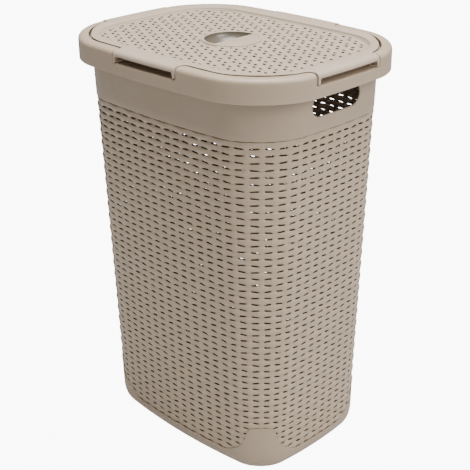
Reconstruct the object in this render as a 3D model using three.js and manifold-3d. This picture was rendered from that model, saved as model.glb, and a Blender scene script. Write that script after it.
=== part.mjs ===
// Tall plastic laundry hamper moulded to look like woven rattan, with a lift-off lid.
// Millimetres, +Z up. The origin is the middle of the footprint, on the surface that the feet stand on.
// The long sides face -Y (front) and +Y (back), the short sides face -X (left) and +X (right).
import * as THREE from 'three';
import { mergeVertices } from 'three/addons/utils/BufferGeometryUtils.js';
import Module from 'manifold-3d';

const wasm = await Module();
wasm.setup();

// ---- driving dimensions ----
const HEIGHT = 600;
const RIM_HALF_LENGTH = 201.9;
const RIM_HALF_WIDTH = 149.2;
const RIM_CORNER_RADIUS = 87;
const LONG_SIDE_BULGE = 13;
const SHORT_SIDE_BULGE = 8.6;
const WALL = 3.4;
const GAP = 0.3;

const SKIRT_BOTTOM = 568.5;
const SKIRT_WALL = 2.5;
const WALL_INSET_TOP = 18.8;
const WALL_INSET_LOW = 37;
const WALL_INSET_INNER = 22.2;
const WEAVE_TOP = 514.3;
const WEAVE_BOTTOM = 34;
const EXTRA_CORNER_TIGHTENING = 3.4;

const FOOT_HEIGHT = 1.2;
const FOOT_RADIUS = 4.8;
const FOOT_FROM_ARC_CENTRE = 27;
const FLOOR_THICKNESS = 3;
const BASE_ROUNDING = 21;
const BASE_LIP = 6;
const BASE_CURVE_STEPS = 5;

const HANDLE_HALF_LENGTH = 47;
const HANDLE_BOTTOM = 535;
const HANDLE_TOP = 563;

const NOTCH_HALF_LENGTH = 61.7;
const NOTCH_BOTTOM = 584.5;
const LEDGE_TOP = 594.3;
const LEDGE_THICKNESS = 3;
const POCKET_BACK_INSET = 15;
const ROLL_WIDTH = 6;
const ROLL_HEIGHT = 6;
const ROLL_STEPS = 3;

const PANEL_HALF_LENGTH = 188;
const PANEL_HALF_WIDTH = 137;
const PANEL_CORNER_RADIUS = 75;
const PANEL_BULGE = 6.5;
const PANEL_SLIT = 1.6;
const PANEL_BORDER_WIDTH = 15.5;
const FIELD_TOP = 597;
const WING_HALF_LENGTH = 59.9;
const WING_LIP_BOTTOM = 592.4;
const WING_PLATE_BOTTOM = 597;
const WING_TAB_WIDTH = 3.6;
const WING_TAB_BOTTOM = 585.5;

const PULL_OUTER_RADIUS = 42;
const PULL_INNER_RADIUS = 38;
const PULL_TOP = 598;
const PULL_DEPTH = 20;
const PULL_WALL = 2.2;
const DISH_CURVE_STEPS = 6;
const DISH_TURN_STEPS = 40;
const GRIP_ARC_STEPS = 24;
const GRIP_EDGE_X = 3;
const GRIP_THICKNESS = 2.2;
const GRIP_TOP = 597.4;
const GRIP_CLEARANCE = 0.9;

const EDGE_BREAK = 1;

const ARC_STEPS = 8;
const SIDE_STEPS = 8;
const HOLE_STEPS = 32;
const HANDLE_ARC_STEPS = 8;
const PAD_STEPS = 16;

// ---- finishes ----
const taupe = { color: 0xa99c8f, roughness: 0.55, metalness: 0 };
const paleTaupe = { color: 0xb5a99c, roughness: 0.5, metalness: 0 };
const glossTaupe = { color: 0xa39a8e, roughness: 0.25, metalness: 0 };

const hamper = new THREE.Group();

function addPiece(name, geometry, finish) {
  const piece = new THREE.Mesh(geometry, new THREE.MeshStandardMaterial(finish));
  piece.name = name;
  hamper.add(piece);
}

// ---- outlines: a rounded rectangle whose four sides bow outwards ----
function cornerTightening(z) {
  const below = THREE.MathUtils.clamp((SKIRT_BOTTOM - z) / (SKIRT_BOTTOM - WEAVE_BOTTOM), 0, 1);
  return EXTRA_CORNER_TIGHTENING * below;
}

// A level is one closed outline at one height. shell() insets the hamper's outline, panel() the lid's.
function shell(inset, z) {
  return {
    halfLength: RIM_HALF_LENGTH - inset,
    halfWidth: RIM_HALF_WIDTH - inset,
    radius: RIM_CORNER_RADIUS - inset - cornerTightening(z),
    bulgeX: SHORT_SIDE_BULGE,
    bulgeY: LONG_SIDE_BULGE,
    z,
  };
}

function panel(inset, z) {
  return {
    halfLength: PANEL_HALF_LENGTH - inset,
    halfWidth: PANEL_HALF_WIDTH - inset,
    radius: PANEL_CORNER_RADIUS - inset,
    bulgeX: PANEL_BULGE,
    bulgeY: PANEL_BULGE,
    z,
  };
}

function bowed(x, y, level) {
  const alongX = x / level.halfLength;
  const alongY = y / level.halfWidth;
  const pushX = Math.sign(x) * alongX * alongX * level.bulgeX * (1 - alongY * alongY);
  const pushY = Math.sign(y) * alongY * alongY * level.bulgeY * (1 - alongX * alongX);
  return new THREE.Vector3(x + pushX, y + pushY, level.z);
}

// A station is a place along the outline: a function that gives its point on any level.
// Stations run anticlockwise, and quarter turns take them round the other sides.
const CORNERS = {
  back_right: { x: 1, y: 1, start: 0 },
  back_left: { x: -1, y: 1, start: 90 },
  front_left: { x: -1, y: -1, start: 180 },
  front_right: { x: 1, y: -1, start: 270 },
};
const SIDES = {
  right: { fixed: 'x', sign: 1 },
  back: { fixed: 'y', sign: 1 },
  left: { fixed: 'x', sign: -1 },
  front: { fixed: 'y', sign: -1 },
};

// The sides before and after a corner, going anticlockwise.
function sidesRound(corner) {
  const names = Object.keys(SIDES);
  const index = Object.keys(CORNERS).indexOf(corner);
  return [names[index], names[(index + 1) % names.length]];
}

function sidePoint(side, along, level) {
  if (side.fixed === 'x') {
    return bowed(side.sign * level.halfLength, side.sign * along, level);
  }
  return bowed(-side.sign * along, side.sign * level.halfWidth, level);
}

function straightHalf(side, level) {
  return (side.fixed === 'x' ? level.halfWidth : level.halfLength) - level.radius;
}

function spread(from, to, steps) {
  return Array.from({ length: steps + 1 }, (_, i) => from + (to - from) * (i / steps));
}

// The whole straight stretch of one side, stopping half a gap short of the corners.
function sideStations(name) {
  const side = SIDES[name];
  return spread(-1, 1, SIDE_STEPS).map((t) => (level) => {
    return sidePoint(side, t * (straightHalf(side, level) - GAP / 2), level);
  });
}

// A stretch of one side between two fixed distances from its middle.
function stretchStations(name, from, to, steps) {
  return spread(from, to, steps).map((along) => (level) => sidePoint(SIDES[name], along, level));
}

function cornerStations(name) {
  const corner = CORNERS[name];
  return spread(0, 1, ARC_STEPS).map((t) => (level) => {
    const trim = GAP / 2 / level.radius;
    const turn = THREE.MathUtils.degToRad(corner.start) + trim + t * (Math.PI / 2 - 2 * trim);
    const x = corner.x * (level.halfLength - level.radius) + level.radius * Math.cos(turn);
    const y = corner.y * (level.halfWidth - level.radius) + level.radius * Math.sin(turn);
    return bowed(x, y, level);
  });
}

// From the notch on one side, round the corner, to the notch on the next side.
function rimCornerStations(name, start) {
  const [before, after] = sidesRound(name).map((side) => SIDES[side]);
  const lead = spread(0, 1, 2).slice(0, -1);
  const leadIn = lead.map((t) => (level) => {
    return sidePoint(before, start + t * (straightHalf(before, level) - start), level);
  });
  const leadOut = lead.map((t) => (level) => {
    return sidePoint(after, -start - t * (straightHalf(after, level) - start), level);
  });
  return [...leadIn, ...cornerStations(name), ...leadOut.reverse()];
}

function loopStations() {
  const loop = [];
  Object.keys(SIDES).forEach((side, i) => {
    loop.push(...sideStations(side), ...cornerStations(Object.keys(CORNERS)[i]));
  });
  return loop;
}

// ---- solids ----
function facingOut(geometry) {
  const position = geometry.getAttribute('position');
  const index = geometry.getIndex().array;
  const corner = (i) => new THREE.Vector3().fromBufferAttribute(position, index[i]);
  let volume = 0;
  for (let i = 0; i < index.length; i += 3) {
    volume += corner(i).dot(corner(i + 1).cross(corner(i + 2)));
  }
  if (volume < 0) {
    geometry.setIndex(Array.from(index).reverse());
  }
  return geometry;
}

// Carries a closed section, given as a list of levels, along the stations.
function sweep(stations, section, closed = false) {
  const points = stations.flatMap((station) => section.map((level) => station(level)));
  const count = section.length;
  const faces = [];
  const spans = closed ? stations.length : stations.length - 1;
  for (let i = 0; i < spans; i += 1) {
    const here = i * count;
    const next = ((i + 1) % stations.length) * count;
    for (let j = 0; j < count; j += 1) {
      const k = (j + 1) % count;
      faces.push(here + j, next + j, next + k, here + j, next + k, here + k);
    }
  }
  if (!closed) {
    const flat = points.slice(0, count).map((p) => new THREE.Vector2(Math.hypot(p.x, p.y), p.z));
    const last = (stations.length - 1) * count;
    for (const [a, b, c] of capFaces(flat)) {
      faces.push(a, b, c, last + a, last + c, last + b);
    }
  }
  const geometry = new THREE.BufferGeometry().setFromPoints(points);
  geometry.setIndex(faces);
  return facingOut(geometry);
}

// Cap triangles wound against the section's own order, so that they close the sweep's first end.
function capFaces(flat) {
  const clockwise = THREE.ShapeUtils.isClockWise(flat);
  return THREE.ShapeUtils.triangulateShape(flat, []).map(([a, b, c]) => {
    const turn = new THREE.Vector2().subVectors(flat[b], flat[a])
      .cross(new THREE.Vector2().subVectors(flat[c], flat[a]));
    return (turn < 0) === clockwise ? [a, b, c] : [a, c, b];
  });
}

function toSolid(geometry) {
  const bare = geometry.clone();
  bare.deleteAttribute('normal');
  bare.deleteAttribute('uv');
  const merged = mergeVertices(bare);
  return new wasm.Manifold(new wasm.Mesh({
    numProp: 3,
    vertProperties: new Float32Array(merged.getAttribute('position').array),
    triVerts: new Uint32Array(merged.getIndex().array),
  }));
}

function toGeometry(solid) {
  const mesh = solid.getMesh();
  const geometry = new THREE.BufferGeometry();
  geometry.setAttribute('position', new THREE.BufferAttribute(mesh.vertProperties, 3));
  geometry.setIndex(Array.from(mesh.triVerts));
  return geometry;
}

function joined(geometries) {
  return toGeometry(geometries.map(toSolid).reduce((whole, next) => whole.add(next)));
}

function cut(geometry, tool) {
  return toGeometry(toSolid(geometry).subtract(toSolid(tool)));
}

function wallInset(z) {
  const down = (SKIRT_BOTTOM - z) / (SKIRT_BOTTOM - WEAVE_BOTTOM);
  return WALL_INSET_TOP + (WALL_INSET_LOW - WALL_INSET_TOP) * down;
}

function wallSection(bottom, top) {
  return [
    shell(wallInset(bottom), bottom),
    shell(wallInset(top), top),
    shell(wallInset(top) + WALL, top),
    shell(wallInset(bottom) + WALL, bottom),
  ];
}

// ---- base: flat floor inside a rounded-under band that stands on four small feet ----
function baseSection() {
  const rise = WEAVE_BOTTOM - GAP - FOOT_HEIGHT;
  const turns = spread(0, Math.PI / 2, BASE_CURVE_STEPS);
  const outside = turns.map((turn) => {
    const inset = WALL_INSET_LOW + BASE_ROUNDING * (1 - Math.cos(turn));
    return shell(inset, WEAVE_BOTTOM - GAP - rise * Math.sin(turn));
  });
  const inside = turns.reverse().map((turn) => {
    const inset = WALL_INSET_LOW + WALL + (BASE_ROUNDING - WALL / 2) * (1 - Math.cos(turn));
    return shell(inset, WEAVE_BOTTOM - GAP - (rise - FLOOR_THICKNESS) * Math.sin(turn));
  });
  const lipInset = WALL_INSET_LOW + BASE_ROUNDING + BASE_LIP;
  return [
    ...outside,
    shell(lipInset, FOOT_HEIGHT),
    shell(lipInset, FOOT_HEIGHT + FLOOR_THICKNESS),
    ...inside,
  ];
}

function footPad(corner) {
  const ground = shell(WALL_INSET_LOW + BASE_ROUNDING, 0);
  const reach = FOOT_FROM_ARC_CENTRE * Math.SQRT1_2;
  const height = FOOT_HEIGHT + FLOOR_THICKNESS / 2;
  const pad = new THREE.CylinderGeometry(FOOT_RADIUS, FOOT_RADIUS, height, PAD_STEPS);
  pad.rotateX(Math.PI / 2);
  const x = corner.x * (ground.halfLength - ground.radius + reach);
  const y = corner.y * (ground.halfWidth - ground.radius + reach);
  return pad.translate(x, y, height / 2);
}

function plate(level, thickness, hole = 0) {
  const outline = loopStations().map((station) => station(level));
  const shape = new THREE.Shape(outline.map((p) => new THREE.Vector2(p.x, p.y)));
  if (hole > 0) {
    shape.holes.push(new THREE.Path().absarc(0, 0, hole, 0, 2 * Math.PI, true));
  }
  const options = { depth: thickness, bevelEnabled: false, curveSegments: HOLE_STEPS };
  return new THREE.ExtrudeGeometry(shape, options).translate(0, 0, level.z);
}

function addBase() {
  const floorInset = WALL_INSET_LOW + BASE_ROUNDING + BASE_LIP + GAP;
  addPiece('floor_plate', plate(shell(floorInset, FOOT_HEIGHT), FLOOR_THICKNESS), taupe);
  for (const side of Object.keys(SIDES)) {
    addPiece(`base_band_${side}`, sweep(sideStations(side), baseSection()), taupe);
  }
  for (const [name, corner] of Object.entries(CORNERS)) {
    const band = sweep(cornerStations(name), baseSection());
    addPiece(`base_corner_${name}`, joined([band, footPad(corner)]), taupe);
  }
}

// ---- woven walls: the true outer shape, four sides and four corners ----
function addWovenWalls() {
  const section = wallSection(WEAVE_BOTTOM, WEAVE_TOP);
  for (const side of Object.keys(SIDES)) {
    addPiece(`woven_wall_${side}`, sweep(sideStations(side), section), taupe);
  }
  for (const corner of Object.keys(CORNERS)) {
    addPiece(`woven_corner_${corner}`, sweep(cornerStations(corner), section), taupe);
  }
}

// ---- smooth band above the weave, with a hand hole in each short side ----
function handleTool() {
  const radius = (HANDLE_TOP - HANDLE_BOTTOM) / 2;
  const middle = (HANDLE_TOP + HANDLE_BOTTOM) / 2;
  const straight = HANDLE_HALF_LENGTH - radius;
  const shape = new THREE.Shape();
  shape.absarc(straight, middle, radius, -Math.PI / 2, Math.PI / 2, false);
  shape.absarc(-straight, middle, radius, Math.PI / 2, 1.5 * Math.PI, false);
  const length = 2 * RIM_HALF_LENGTH + 4 * SHORT_SIDE_BULGE;
  const options = { depth: length, bevelEnabled: false, curveSegments: HANDLE_ARC_STEPS };
  const tool = new THREE.ExtrudeGeometry(shape, options);
  tool.translate(0, 0, -length / 2);
  return tool.rotateX(Math.PI / 2).rotateZ(Math.PI / 2);
}

function addUpperBand() {
  const section = wallSection(WEAVE_TOP + GAP, SKIRT_BOTTOM - GAP);
  for (const side of ['front', 'back']) {
    addPiece(`upper_band_${side}`, sweep(sideStations(side), section), paleTaupe);
  }
  for (const side of ['left', 'right']) {
    const band = sweep(sideStations(side), section);
    addPiece(`handle_panel_${side}`, cut(band, handleTool()), paleTaupe);
  }
  for (const corner of Object.keys(CORNERS)) {
    addPiece(`upper_corner_${corner}`, sweep(cornerStations(corner), section), paleTaupe);
  }
}

// ---- rim: a skirted collar with a rolled top edge, notched in the middle of each side ----
function rolledEdge() {
  return spread(0, Math.PI / 2, ROLL_STEPS).map((turn) => {
    const inset = ROLL_WIDTH * (1 - Math.cos(turn));
    return shell(inset, HEIGHT - ROLL_HEIGHT + ROLL_HEIGHT * Math.sin(turn));
  });
}

function rimSection() {
  const slitWall = PANEL_SLIT + LEDGE_THICKNESS;
  return [
    shell(0, SKIRT_BOTTOM),
    ...rolledEdge(),
    panel(-PANEL_SLIT, HEIGHT),
    panel(-PANEL_SLIT, LEDGE_TOP),
    shell(WALL_INSET_INNER, LEDGE_TOP),
    shell(WALL_INSET_INNER, SKIRT_BOTTOM),
    shell(WALL_INSET_TOP, SKIRT_BOTTOM),
    shell(WALL_INSET_TOP, LEDGE_TOP - LEDGE_THICKNESS),
    panel(-slitWall, LEDGE_TOP - LEDGE_THICKNESS),
    panel(-slitWall, HEIGHT - LEDGE_THICKNESS),
    shell(ROLL_WIDTH, HEIGHT - LEDGE_THICKNESS),
    shell(SKIRT_WALL, HEIGHT - ROLL_HEIGHT),
    shell(SKIRT_WALL, SKIRT_BOTTOM),
  ];
}

// The filled section that closes a rim corner where it meets a notch.
function rimEndSection() {
  return [
    shell(0, SKIRT_BOTTOM),
    ...rolledEdge(),
    panel(-PANEL_SLIT, HEIGHT),
    panel(-PANEL_SLIT, LEDGE_TOP),
    shell(WALL_INSET_INNER, LEDGE_TOP),
    shell(WALL_INSET_INNER, SKIRT_BOTTOM),
  ];
}

function shelfSection() {
  const underside = NOTCH_BOTTOM - LEDGE_THICKNESS;
  return [
    shell(0, SKIRT_BOTTOM),
    shell(0, NOTCH_BOTTOM - EDGE_BREAK),
    shell(EDGE_BREAK, NOTCH_BOTTOM),
    shell(POCKET_BACK_INSET, NOTCH_BOTTOM),
    shell(POCKET_BACK_INSET, LEDGE_TOP),
    shell(WALL_INSET_INNER, LEDGE_TOP),
    shell(WALL_INSET_INNER, SKIRT_BOTTOM),
    shell(WALL_INSET_TOP, SKIRT_BOTTOM),
    shell(WALL_INSET_TOP, underside),
    shell(SKIRT_WALL, underside),
    shell(SKIRT_WALL, SKIRT_BOTTOM),
  ];
}

function rimEnds(corner) {
  const [before, after] = sidesRound(corner);
  const from = NOTCH_HALF_LENGTH;
  const to = NOTCH_HALF_LENGTH + SKIRT_WALL;
  return [stretchStations(before, from, to, 1), stretchStations(after, -to, -from, 1)];
}

function addRim() {
  for (const corner of Object.keys(CORNERS)) {
    const bar = sweep(rimCornerStations(corner, NOTCH_HALF_LENGTH), rimSection());
    const ends = rimEnds(corner).map((stations) => sweep(stations, rimEndSection()));
    addPiece(`rim_corner_${corner}`, joined([bar, ...ends]), paleTaupe);
  }
  const reach = NOTCH_HALF_LENGTH - GAP;
  for (const side of Object.keys(SIDES)) {
    const stations = stretchStations(side, -reach, reach, SIDE_STEPS);
    addPiece(`rim_notch_${side}`, sweep(stations, shelfSection()), paleTaupe);
  }
}

// ---- lid: flat border, sunken woven field, four wings that fill the notches ----
function borderSection() {
  const underside = LEDGE_TOP + GAP;
  return [
    panel(0, underside),
    panel(0, HEIGHT),
    panel(PANEL_BORDER_WIDTH, HEIGHT),
    panel(PANEL_BORDER_WIDTH, underside),
  ];
}

function wingSection() {
  return [
    shell(0, WING_LIP_BOTTOM),
    ...rolledEdge(),
    panel(-GAP, HEIGHT),
    panel(-GAP, WING_PLATE_BOTTOM),
    shell(ROLL_WIDTH, WING_PLATE_BOTTOM),
    shell(SKIRT_WALL, WING_PLATE_BOTTOM - EDGE_BREAK),
    shell(SKIRT_WALL, WING_LIP_BOTTOM),
  ];
}

function wingTabSection() {
  return [
    shell(0, WING_TAB_BOTTOM),
    shell(0, HEIGHT - ROLL_HEIGHT),
    shell(SKIRT_WALL, HEIGHT - ROLL_HEIGHT),
    shell(SKIRT_WALL, WING_TAB_BOTTOM),
  ];
}

function wing(side) {
  const tabStart = WING_HALF_LENGTH - WING_TAB_WIDTH;
  const bar = stretchStations(side, -WING_HALF_LENGTH, WING_HALF_LENGTH, SIDE_STEPS);
  const tabs = [
    stretchStations(side, -WING_HALF_LENGTH, -tabStart, 1),
    stretchStations(side, tabStart, WING_HALF_LENGTH, 1),
  ];
  return joined([sweep(bar, wingSection()), ...tabs.map((tab) => sweep(tab, wingTabSection()))]);
}

function addLid() {
  const underside = LEDGE_TOP + GAP;
  addPiece('lid_border', sweep(loopStations(), borderSection(), true), paleTaupe);
  const field = panel(PANEL_BORDER_WIDTH + GAP, underside);
  addPiece('lid_woven_field', plate(field, FIELD_TOP - underside, PULL_OUTER_RADIUS + GAP), paleTaupe);
  for (const side of Object.keys(SIDES)) {
    addPiece(`lid_wing_${side}`, wing(side), paleTaupe);
  }
}

// ---- finger pull: a round dish in the middle of the lid, half covered by a grip ----
function dishCurve(radius, depth) {
  return spread(0, Math.PI / 2, DISH_CURVE_STEPS).map((turn) => {
    return new THREE.Vector2(radius * Math.sin(turn), PULL_TOP - depth * Math.cos(turn));
  });
}

function pullDish() {
  const inside = dishCurve(PULL_INNER_RADIUS, PULL_DEPTH);
  const outside = dishCurve(PULL_INNER_RADIUS + PULL_WALL, PULL_DEPTH + PULL_WALL);
  const flangeBottom = LEDGE_TOP + GAP;
  const below = outside.filter((p) => p.y < flangeBottom);
  const profile = [
    ...below,
    new THREE.Vector2(PULL_OUTER_RADIUS, flangeBottom),
    new THREE.Vector2(PULL_OUTER_RADIUS, PULL_TOP - EDGE_BREAK),
    new THREE.Vector2(PULL_OUTER_RADIUS - EDGE_BREAK, PULL_TOP),
    ...inside.reverse(),
  ];
  return new THREE.LatheGeometry(profile, DISH_TURN_STEPS).rotateX(Math.PI / 2);
}

function pullGrip() {
  const radius = PULL_INNER_RADIUS - GRIP_CLEARANCE;
  const reach = Math.acos(GRIP_EDGE_X / radius);
  const shape = new THREE.Shape().absarc(0, 0, radius, -reach, reach, false);
  const grip = new THREE.ExtrudeGeometry(shape, {
    depth: GRIP_THICKNESS,
    bevelEnabled: false,
    curveSegments: GRIP_ARC_STEPS,
  });
  return grip.translate(0, 0, GRIP_TOP - GRIP_THICKNESS);
}

function addPull() {
  addPiece('finger_pull_dish', pullDish(), glossTaupe);
  addPiece('finger_pull_grip', pullGrip(), glossTaupe);
}

addBase();
addWovenWalls();
addUpperBand();
addRim();
addLid();
addPull();

export default hamper;
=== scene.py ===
"""Rattan-look laundry hamper: slotted woven tub, skirted rim, lift-off lid with a finger pull."""
import math

import bmesh
import bpy
import numpy as np
from mathutils import Matrix, Vector


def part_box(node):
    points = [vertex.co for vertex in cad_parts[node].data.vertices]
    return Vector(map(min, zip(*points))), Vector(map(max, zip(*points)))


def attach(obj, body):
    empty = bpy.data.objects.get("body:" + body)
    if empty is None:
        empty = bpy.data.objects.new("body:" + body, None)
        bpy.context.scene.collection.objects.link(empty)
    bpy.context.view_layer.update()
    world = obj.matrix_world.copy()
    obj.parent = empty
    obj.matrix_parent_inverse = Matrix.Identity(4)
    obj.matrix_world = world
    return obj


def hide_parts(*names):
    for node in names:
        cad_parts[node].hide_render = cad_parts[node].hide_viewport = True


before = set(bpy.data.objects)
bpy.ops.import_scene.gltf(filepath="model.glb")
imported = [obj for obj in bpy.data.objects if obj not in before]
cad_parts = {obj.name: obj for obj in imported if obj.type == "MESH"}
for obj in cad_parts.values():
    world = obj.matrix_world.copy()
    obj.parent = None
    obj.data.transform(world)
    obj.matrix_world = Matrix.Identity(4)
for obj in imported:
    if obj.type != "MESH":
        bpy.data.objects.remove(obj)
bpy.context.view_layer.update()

MM = 0.001
TINY = 1e-6
HAIR = 0.01


def node_box(name):
    """Lowest and highest corner of a frame node, in millimetres."""
    low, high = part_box(name)
    return np.array(low) / MM, np.array(high) / MM


# ---- sizes, in millimetres: those of the frame, and how far each side bows out ----
BOW_SHORT = 8.6
BOW_LONG = 13.0
HEIGHT = node_box("lid_border")[1][2]
RIM_A = node_box("lid_wing_right")[1][0] - BOW_SHORT
RIM_B = node_box("lid_wing_back")[1][1] - BOW_LONG
RIM_RADIUS = 87.0
SKIRT_BOTTOM = node_box("rim_notch_front")[0][2]
WEAVE_TOP = node_box("woven_wall_front")[1][2]
WALL_FOOT = node_box("woven_wall_front")[0][2]
WALL_INSET_TOP = 18.8
WALL_INSET_LOW = 37.0
CORNER_TIGHTENING = 3.4
FLOOR_UNDERSIDE = node_box("floor_plate")[0][2]

# ---- the weave of the walls: columns are counted round the hamper, strands downwards ----
COLUMNS = 66
SHORT_HALF_COLUMNS = 7.0
LONG_HALF_COLUMNS = 9.5
EVEN_PITCH_HEIGHT = 400.0
STRANDS = 50
STRAND_PITCH = 9.7
WEAVE_BOTTOM = WEAVE_TOP - STRANDS * STRAND_PITCH
SLOT_SWAY = 0.5
TUCK = 3.0
# Depths outwards from the wall's nominal face, of the groove between strands and of the inside.
GROOVE = -1.3
INNER_FACE = -4.3
# A strand's height above the groove, and how much it gains or loses going over and under stakes.
PILLOW = 0.8
OVER_UNDER = 0.8


# ---- outlines: a rounded rectangle whose four sides bow outwards ----
def shell(inset, z):
    """The hamper's outline, inset from the rim's outer face: half length, half width, radius, bows."""
    inset, z = np.broadcast_arrays(np.asarray(inset, float), np.asarray(z, float))
    below = np.clip((SKIRT_BOTTOM - z) / (SKIRT_BOTTOM - WALL_FOOT), 0, 1)
    radius = RIM_RADIUS - inset - CORNER_TIGHTENING * below
    return RIM_A - inset, RIM_B - inset, radius, BOW_SHORT, BOW_LONG, z


PANEL_BOW = 6.5
PANEL_A = node_box("lid_border")[1][0] - PANEL_BOW
PANEL_B = node_box("lid_border")[1][1] - PANEL_BOW
PANEL_RADIUS = 75.0


def panel(inset, z):
    """The lid panel's outline, inset from its edge."""
    inset, z = np.broadcast_arrays(np.asarray(inset, float), np.asarray(z, float))
    return PANEL_A - inset, PANEL_B - inset, PANEL_RADIUS - inset, PANEL_BOW, PANEL_BOW, z


def wall_inset(z):
    """How far the wall lies inside the rim's outer face at a height."""
    down = (SKIRT_BOTTOM - z) / (SKIRT_BOTTOM - WALL_FOOT)
    return WALL_INSET_TOP + (WALL_INSET_LOW - WALL_INSET_TOP) * down


def place(station, level, out=0.0):
    """Points at stations (along shares, normals, fixed shifts, mirror signs) on a level."""
    share_x, share_y, nx, ny, fixed_x, fixed_y, sign_x, sign_y = station
    a, b, radius, bow_x, bow_y, z = level
    x = share_x * (a - radius) + nx * radius + fixed_x
    y = share_y * (b - radius) + ny * radius + fixed_y
    along_x = (x / a) ** 2
    along_y = (y / b) ** 2
    x = x + along_x * bow_x * (1 - along_y) + nx * out
    y = y + along_y * bow_y * (1 - along_x) + ny * out
    x, y, z = np.broadcast_arrays(sign_x * x, sign_y * y, z)
    return np.stack([x, y, z], axis=-1)


def column_station(column):
    """Stations for weave columns, counted anticlockwise from the middle of the right side."""
    column = np.mod(np.asarray(column, float), COLUMNS)
    sign_y = np.where(column <= COLUMNS / 2, 1.0, -1.0)
    column = np.where(column > COLUMNS / 2, COLUMNS - column, column)
    sign_x = np.where(column <= COLUMNS / 4, 1.0, -1.0)
    column = np.where(column > COLUMNS / 4, COLUMNS / 2 - column, column)
    a, b, radius, _, _, _ = shell(wall_inset(EVEN_PITCH_HEIGHT), EVEN_PITCH_HEIGHT)
    eighth = radius * math.pi / 4
    short = column / SHORT_HALF_COLUMNS * (b - radius + eighth)
    long = (COLUMNS / 4 - column) / LONG_HALF_COLUMNS * (a - radius + eighth)
    on_short = column <= SHORT_HALF_COLUMNS
    turn_short = np.clip((short - (b - radius)) / radius, 0, None)
    turn_long = math.pi / 2 - np.clip((long - (a - radius)) / radius, 0, None)
    turn = np.where(on_short, turn_short, turn_long)
    share_x = np.where(on_short, 1.0, np.clip(long / (a - radius), 0, 1))
    share_y = np.where(on_short, np.clip(short / (b - radius), 0, 1), 1.0)
    zero = np.zeros_like(turn)
    return share_x, share_y, np.cos(turn), np.sin(turn), zero, zero, sign_x, sign_y


# ---- mesh helpers ----
def compact(points, faces):
    """Drops points that no face uses."""
    used = np.unique(np.concatenate([face.ravel() for face in faces]))
    renumber = np.full(len(points), -1)
    renumber[used] = np.arange(len(used))
    return points[used], [renumber[face] for face in faces], used


def thick_sheet(keep, wrap=False):
    """Faces of a sheet with thickness, outer grid first; walls close every border and hole."""
    rows, cols = keep.shape
    across = cols if wrap else cols + 1
    index = np.arange((rows + 1) * across).reshape(rows + 1, across)
    right = np.roll(index, -1, axis=1)[:, :cols]
    left = index[:, :cols]
    quads = np.stack([left[:-1], left[1:], right[1:], right[:-1]], axis=-1)[keep]
    starts = quads.ravel()
    ends = np.roll(quads, -1, axis=1).ravel()
    total = index.size
    border = ~np.isin(starts * total + ends, ends * total + starts)
    start, end = starts[border], ends[border]
    sides = np.stack([end, start, start + total, end + total], axis=-1)
    return np.concatenate([quads, quads[:, ::-1] + total, sides])


def ring_faces(around, across, closed=True):
    """Quads of a grid that closes on itself around, and across too if closed."""
    index = np.arange(around * across).reshape(around, across)
    if closed:
        far = np.roll(index, -1, axis=1)
        near = index
    else:
        far = index[:, 1:]
        near = index[:, :-1]
    next_near = np.roll(near, -1, axis=0)
    next_far = np.roll(far, -1, axis=0)
    return np.stack([near, next_near, next_far, far], axis=-1).reshape(-1, 4)


def vertex_normals(points, quads):
    """The smooth normal at each point, from the quads that meet there."""
    corner = points[quads]
    normal = np.cross(corner[:, 2] - corner[:, 0], corner[:, 3] - corner[:, 1])
    total = np.zeros_like(points)
    for i in range(4):
        np.add.at(total, quads[:, i], normal)
    length = np.linalg.norm(total, axis=1, keepdims=True)
    return total / np.maximum(length, TINY ** 2)


def facing_out(points, quads):
    """The quads of a closed mesh, turned over if they face inwards."""
    corner = points[quads]
    first = np.einsum("ij,ij->i", corner[:, 0], np.cross(corner[:, 1], corner[:, 2])).sum()
    second = np.einsum("ij,ij->i", corner[:, 0], np.cross(corner[:, 2], corner[:, 3])).sum()
    return quads if first + second > 0 else quads[:, ::-1]


def new_object(name, points, faces, sharp=None, normals=None):
    """A smooth mesh object from millimetre points; edges bent by more than sharp degrees stay sharp."""
    mesh = bpy.data.meshes.new(name)
    mesh.from_pydata((points * MM).tolist(), [], faces)
    mesh.validate()
    mesh.shade_smooth()
    if sharp is not None:
        mesh.set_sharp_from_angle(angle=math.radians(sharp))
    if normals is not None:
        mesh.normals_split_custom_set_from_vertices(normals.tolist())
    piece = bpy.data.objects.new(name, mesh)
    bpy.context.scene.collection.objects.link(piece)
    return piece


def finished(piece, body, nodes, material):
    """Gives a piece its material and its place in the frame."""
    piece.data.materials.clear()
    piece.data.materials.append(material)
    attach(piece, body)
    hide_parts(*nodes)
    return piece


# ---- camera ----
CAMERA_TURN = 45.10
CAMERA_RISE = 24.42
CAMERA_ROLL = -0.54
CAMERA_DISTANCE = 1594.4
CAMERA_AIM_RIGHT = 2.1
CAMERA_AIM_UP = 0.4
CAMERA_LENS = 81.98
CAMERA_NEAR = 50


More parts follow.
